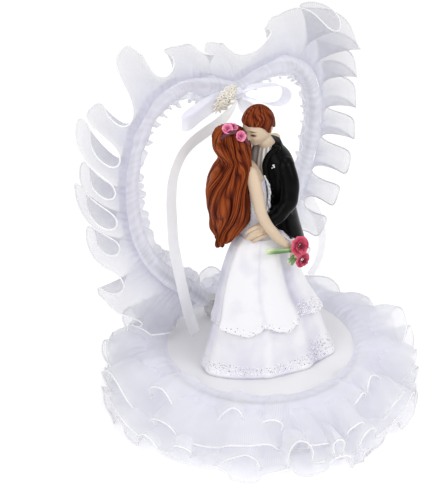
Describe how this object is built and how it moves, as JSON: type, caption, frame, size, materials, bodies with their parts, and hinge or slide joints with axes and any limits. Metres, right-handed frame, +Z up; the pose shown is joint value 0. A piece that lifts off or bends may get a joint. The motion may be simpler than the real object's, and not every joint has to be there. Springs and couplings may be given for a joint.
{
  "type": "wedding cake topper",
  "caption": "Embracing resin couple in front of an organza-dressed wire heart, on a round base with gathered organza tiers.",
  "frame": {"origin": "middle of the topper's box, on the surface that it stands on; the base's middle lies 8 mm to the left of it, because the heart leans to the right", "axes": "+Z up, the front looks towards -Y, +X to the right as seen from the front"},
  "size_m": [0.1754, 0.1584, 0.1768],
  "materials": {
    "moulding": "smooth white moulded plastic, satin gloss",
    "deck": "smooth white covered plate, satin gloss",
    "organza": "sheer white organza with a satin cord edge",
    "satin": "white satin ribbon",
    "lace": "ivory openwork lace",
    "pearl": "ivory pearl lustre",
    "wire": "plain drawn steel wire",
    "glue": "hard clear-to-amber glue",
    "dress": "cast resin painted pearl white",
    "skin": "cast resin painted in a warm skin tone",
    "hair": "cast resin painted auburn with darker grooves",
    "suit": "cast resin painted black, soft sheen",
    "shirt": "cast resin painted white",
    "cravat": "cast resin painted grey-brown with glitter",
    "shoe": "cast resin painted gloss black",
    "pink": "cast resin painted deep pink",
    "rose": "cast resin painted rose pink",
    "leaf": "cast resin painted plum",
    "stalk": "cast resin painted green"
  },
  "bodies": {
    "root": {"base_shell": "moulding", "base_deck": "deck", "heart_stem_glue": "glue", "base_ruffle_upper": "organza", "base_ruffle_middle": "organza", "base_ruffle_lower": "organza", "heart_frame": "wire", "heart_sleeve": "organza", "heart_ruffle_outer": "organza", "heart_frill_inner": "organza", "bow_knot": "satin", "bow_loop_left": "satin", "bow_loop_right": "satin", "bow_tail_left": "satin", "bow_tail_right": "satin", "rosette": "lace", "rosette_pearl": "pearl", "bride_head": "skin", "bride_arm_right": "skin", "bride_arm_left": "skin", "bride_bodice": "dress", "bride_hair": "hair", "bride_crown_leaves": "leaf", "bride_crown_flower_1": "rose", "bride_crown_flower_2": "rose", "bride_crown_flower_3": "rose", "bride_underskirt": "dress", "bride_overskirt": "dress", "groom_head": "skin", "groom_hair": "hair", "groom_hand_left": "skin", "groom_hand_right": "skin", "groom_sleeve_left": "suit", "groom_sleeve_right": "suit", "groom_cravat": "cravat", "groom_shirt": "shirt", "groom_jacket": "suit", "groom_trousers": "suit", "groom_shoe_left": "shoe", "groom_shoe_right": "shoe", "groom_buttonhole": "shirt", "bouquet_stalks": "stalk", "bouquet_leaf": "stalk", "bouquet_flower_1": "pink", "bouquet_flower_2": "pink", "couple_glue": "glue"}
  },
  "joints": []
}
